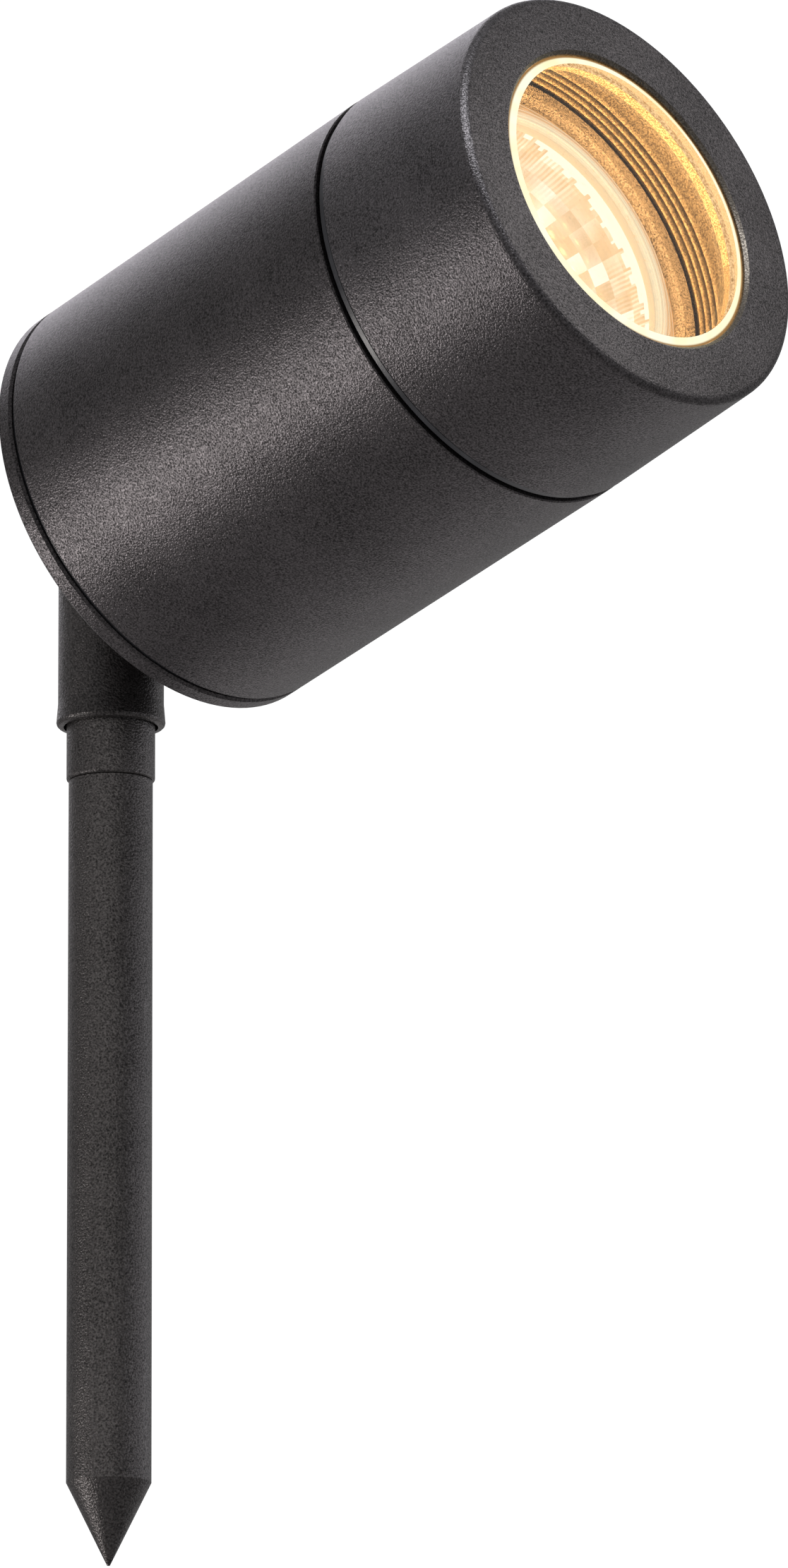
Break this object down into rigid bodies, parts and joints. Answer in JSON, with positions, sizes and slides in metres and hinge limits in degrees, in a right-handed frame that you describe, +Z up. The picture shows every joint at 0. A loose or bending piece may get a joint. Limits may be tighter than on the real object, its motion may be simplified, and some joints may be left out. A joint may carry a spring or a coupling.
{
  "type": "garden stake spotlight",
  "caption": "Outdoor spotlight with a cylindrical tilting head on a swivelling knuckle over a pointed ground stake, glass front, screw-off bezel and rear cable gland.",
  "frame": {"origin": "on the stake's axis where the shank meets the neck, at about ground level when the stake is pushed in", "axes": "+Z up along the stake away from its point, -Y the side the head looks to, X the tilt axis"},
  "size_m": [0.07, 0.1292, 0.2268],
  "materials": {
    "head_coating": "matte fine-textured powder coat, charcoal black, on cast aluminium",
    "stake_coating": "matte coarse-textured powder coat, charcoal black, on steel",
    "clear_glass": "clear toughened glass with a bright bevel",
    "silicone": "translucent silicone",
    "black_rubber": "smooth black rubber",
    "bright_ring": "spun bright aluminium",
    "reflector": "faceted mirror-coated glass",
    "lamp_glass": "fluted cover glass",
    "ceramic": "white steatite ceramic",
    "nickel": "nickel plate",
    "quartz": "clear quartz",
    "tungsten": "hot tungsten coil",
    "zinc_steel": "zinc-plated steel",
    "stainless": "stainless steel",
    "black_screw": "blackened steel",
    "terminal_body": "pale polyamide",
    "brass": "turned brass",
    "lead_sleeve": "heat-resistant sleeving",
    "gland_plastic": "black nylon"
  },
  "bodies": {
    "stake": {"stake_shank": "stake_coating", "stake_neck": "stake_coating", "swivel_bolt": "stainless"},
    "knuckle": {"knuckle_collar": "stake_coating", "swivel_washer": "stainless", "pivot_bolt": "stainless", "pivot_nut": "stainless", "pivot_washers": "stainless"},
    "head": {"body_housing": "head_coating", "bezel_gasket": "black_rubber", "rear_cap": "head_coating", "rear_cap_gasket": "black_rubber", "rear_cap_screws": "black_screw", "lamp_support_ring": "bright_ring", "lamp_holder": "ceramic", "holder_bracket": "zinc_steel", "holder_screws": "zinc_steel", "bracket_screws": "zinc_steel", "lamp_leads": "lead_sleeve", "terminal_block": "terminal_body", "terminal_clamps": "brass", "terminal_screws": "brass", "block_screws": "zinc_steel", "earth_screw": "zinc_steel", "earth_tag": "nickel", "gland_body": "gland_plastic", "gland_nut": "gland_plastic", "gland_seal": "black_rubber", "gland_locknut": "gland_plastic"},
    "bezel": {"front_bezel": "head_coating", "front_glass": "clear_glass", "glass_seal": "silicone"},
    "lamp": {"lamp_reflector": "reflector", "lamp_cover_glass": "lamp_glass", "lamp_base": "ceramic", "lamp_pins": "nickel", "lamp_capsule": "quartz", "lamp_filament": "tungsten"}
  },
  "joints": [
    {"name": "swivel", "type": "hinge", "parent": "stake", "child": "knuckle", "pos_m": [0, 0, 0.0225], "axis": [0, 0, 1], "continuous": true},
    {"name": "head_tilt", "type": "hinge", "parent": "knuckle", "child": "head", "pos_m": [0, 0, 0.0383], "axis": [-1, 0, 0], "range_deg": [-21.5, 78.5]},
    {"name": "bezel_off", "type": "slide", "parent": "head", "child": "bezel", "axis": [0, -0.9588, 0.284], "range_m": [0, 0.04]},
    {"name": "lamp_twist", "type": "hinge", "parent": "head", "child": "lamp", "pos_m": [0, 0, 0.0383], "axis": [0, -0.9588, 0.284], "range_deg": [0, 30]}
  ]
}
